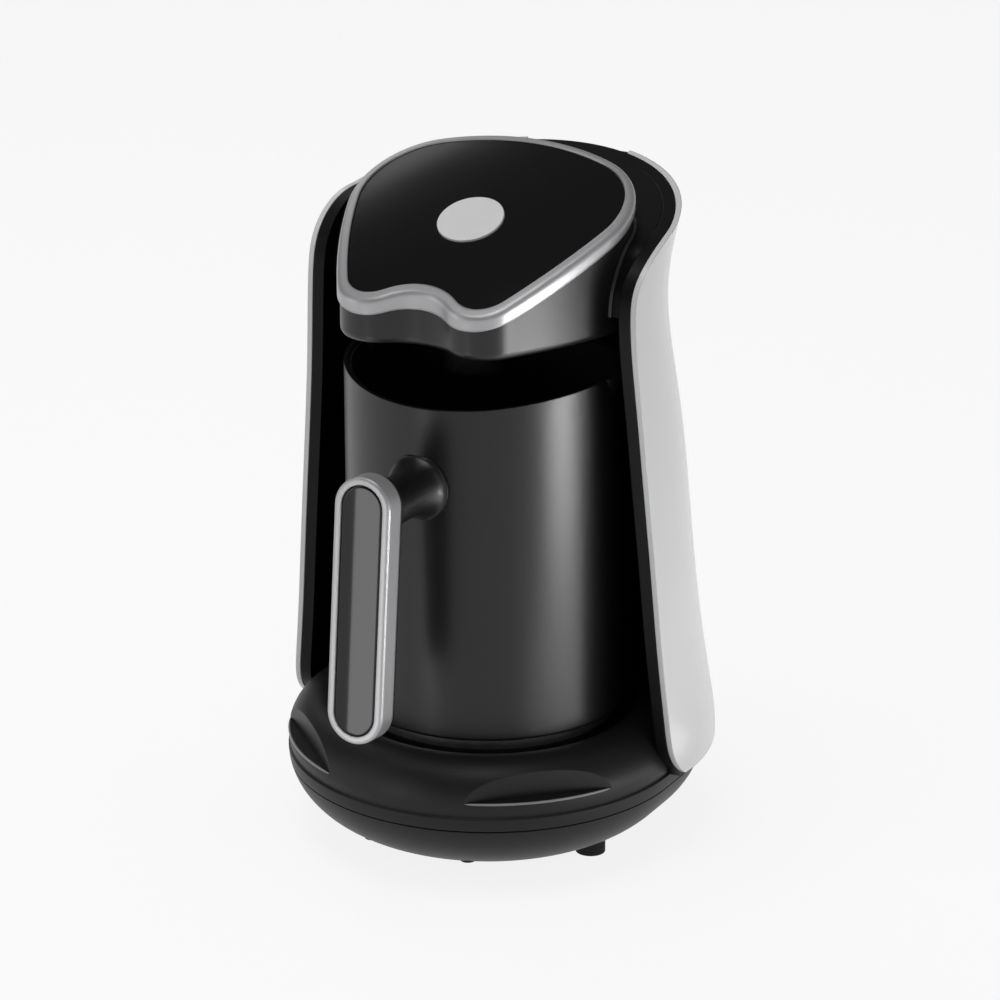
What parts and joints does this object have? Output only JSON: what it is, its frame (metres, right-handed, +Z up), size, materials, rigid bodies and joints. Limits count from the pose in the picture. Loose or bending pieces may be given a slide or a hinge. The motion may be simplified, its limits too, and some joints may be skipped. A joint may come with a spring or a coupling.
{
  "type": "coffee maker",
  "caption": "Electric coffee machine for small pots: round base with heating plate, light side panels, tilted gloss head with start button, and a lift-off pot with a straight handle",
  "frame": {"origin": "on the table under the middle of the whole machine", "axes": "+X to the right seen from the front, -Y to the front, +Z up"},
  "size_m": [0.1626, 0.1927, 0.2536],
  "materials": {
    "gloss_white": "light grey-white gloss moulding",
    "black_shell": "black satin-gloss moulding",
    "base_satin": "dark grey satin moulding",
    "head_satin": "satin black moulding",
    "panel_gloss": "piano black gloss",
    "satin_silver": "satin silver plating",
    "button_silver": "matte silver",
    "pot_satin": "satin black coating",
    "pot_inside": "dark non-stick coating",
    "plate_metal": "machined",
    "rubber_black": "matte",
    "screw_steel": "plain steel",
    "board_green": "circuit board with solder mask",
    "inner_plastic": "moulded inner plastic",
    "wire_red": "insulated lead",
    "window_dark": "dark infrared window"
  },
  "bodies": {
    "machine": {"side_panel_left": "gloss_white", "side_panel_right": "gloss_white", "column_liner": "black_shell", "bay_roof": "black_shell", "head_collar": "black_shell", "rear_cover": "black_shell", "base_pan": "base_satin", "base_deck": "base_satin", "cord_gland": "base_satin", "head_shell": "head_satin", "sensor_housing": "head_satin", "top_panel": "panel_gloss", "bezel": "satin_silver", "heating_plate": "plate_metal", "heating_element": "plate_metal", "foot_front_left": "rubber_black", "foot_front_right": "rubber_black", "foot_rear_left": "rubber_black", "foot_rear_right": "rubber_black", "plate_seal": "rubber_black", "base_screws": "screw_steel", "rear_screws": "screw_steel", "thermal_fuse": "screw_steel", "power_board": "board_green", "control_board": "board_green", "sensor_board": "board_green", "terminal_block": "inner_plastic", "thermostat": "inner_plastic", "switch_body": "inner_plastic", "buzzer": "inner_plastic", "wiring_harness": "wire_red", "sensor_window": "window_dark"},
    "pot": {"pot_body": "pot_satin", "pot_liner": "pot_inside", "pot_base": "plate_metal", "handle_core": "pot_satin", "handle_trim": "satin_silver", "handle_insert": "panel_gloss", "handle_screw": "screw_steel"},
    "button": {"start_button": "button_silver", "switch_plunger": "inner_plastic"}
  },
  "joints": [
    {"name": "pot_slide", "type": "slide", "parent": "machine", "child": "pot", "axis": [0, -1, 0], "range_m": [0, 0.175]},
    {"name": "button_press", "type": "slide", "parent": "machine", "child": "button", "axis": [0, 0.4163, -0.9092], "range_m": [0, 0.0015], "stiffness_N_per_m": 800}
  ]
}
